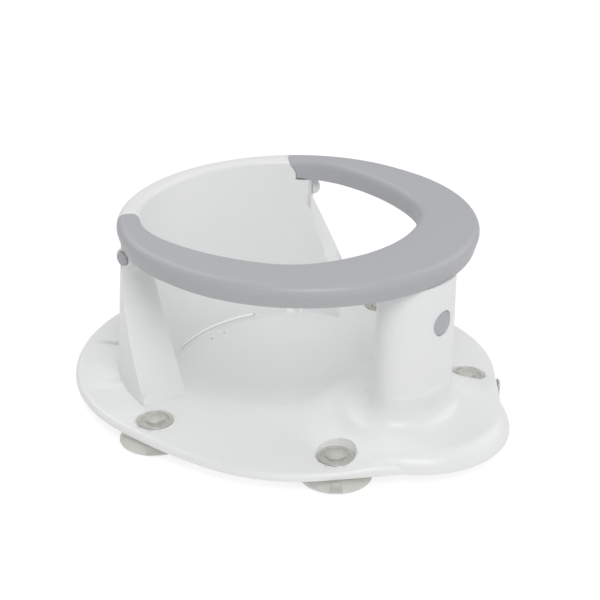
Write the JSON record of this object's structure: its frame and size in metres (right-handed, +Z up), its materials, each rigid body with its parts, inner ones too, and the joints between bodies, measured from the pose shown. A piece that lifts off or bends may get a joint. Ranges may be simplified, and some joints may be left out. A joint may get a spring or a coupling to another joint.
{
  "type": "baby bath seat",
  "caption": "Bath seat with a wrap-round backrest, a column between the legs and a safety ring that lifts off, standing on suction cups.",
  "frame": {"origin": "on the floor, in the middle of the base", "axes": "+X to the right seen from the front, -Y the way the child faces, +Z up"},
  "size_m": [0.315, 0.365, 0.1445],
  "materials": {
    "white_plastic": "satin",
    "grey_plastic": "satin",
    "tongue_plastic": "satin",
    "steel": "bright",
    "clear_rubber": "translucent, soft"
  },
  "bodies": {
    "seat": {"seat_body": "white_plastic", "right_button_spring": "steel", "left_button_spring": "steel", "front_button_spring": "steel"},
    "ring": {"ring_top_cover": "grey_plastic", "ring_bottom_cover": "grey_plastic", "ring_screws": "steel", "right_latch_tongue": "tongue_plastic", "left_latch_tongue": "tongue_plastic", "front_latch_tongue": "tongue_plastic", "tongue_screws": "steel"},
    "right_button": {"right_button": "grey_plastic"},
    "left_button": {"left_button": "grey_plastic"},
    "front_button": {"front_button": "grey_plastic"},
    "rear_right_cup": {"rear_right_suction_cup": "clear_rubber"},
    "rear_left_cup": {"rear_left_suction_cup": "clear_rubber"},
    "front_right_cup": {"front_right_suction_cup": "clear_rubber"},
    "front_left_cup": {"front_left_suction_cup": "clear_rubber"}
  },
  "joints": [
    {"name": "ring_lift", "type": "slide", "parent": "seat", "child": "ring", "axis": [0, 0, 1], "range_m": [0, 0.06], "deforming": ["right_latch_tongue", "left_latch_tongue", "front_latch_tongue"]},
    {"name": "right_button_press", "type": "slide", "parent": "seat", "child": "right_button", "axis": [-1, 0, 0], "range_m": [0, 0.002], "stiffness_N_per_m": 500, "springref_m": -0.002, "deforming": ["right_button_spring"]},
    {"name": "left_button_press", "type": "slide", "parent": "seat", "child": "left_button", "axis": [1, 0, 0], "range_m": [0, 0.002], "stiffness_N_per_m": 500, "springref_m": -0.002, "deforming": ["left_button_spring"]},
    {"name": "front_button_press", "type": "slide", "parent": "seat", "child": "front_button", "axis": [0, 1, 0], "range_m": [0, 0.003], "stiffness_N_per_m": 600, "springref_m": -0.002, "deforming": ["front_button_spring"]},
    {"name": "rear_right_cup_turn", "type": "hinge", "parent": "seat", "child": "rear_right_cup", "pos_m": [0.1312, 0.0233, 0.0127], "axis": [0, 0, 1], "continuous": true},
    {"name": "rear_left_cup_turn", "type": "hinge", "parent": "seat", "child": "rear_left_cup", "pos_m": [-0.1312, 0.0233, 0.0127], "axis": [0, 0, 1], "continuous": true},
    {"name": "front_right_cup_turn", "type": "hinge", "parent": "seat", "child": "front_right_cup", "pos_m": [0.079, -0.1049, 0.0127], "axis": [0, 0, 1], "continuous": true},
    {"name": "front_left_cup_turn", "type": "hinge", "parent": "seat", "child": "front_left_cup", "pos_m": [-0.079, -0.1049, 0.0127], "axis": [0, 0, 1], "continuous": true}
  ]
}
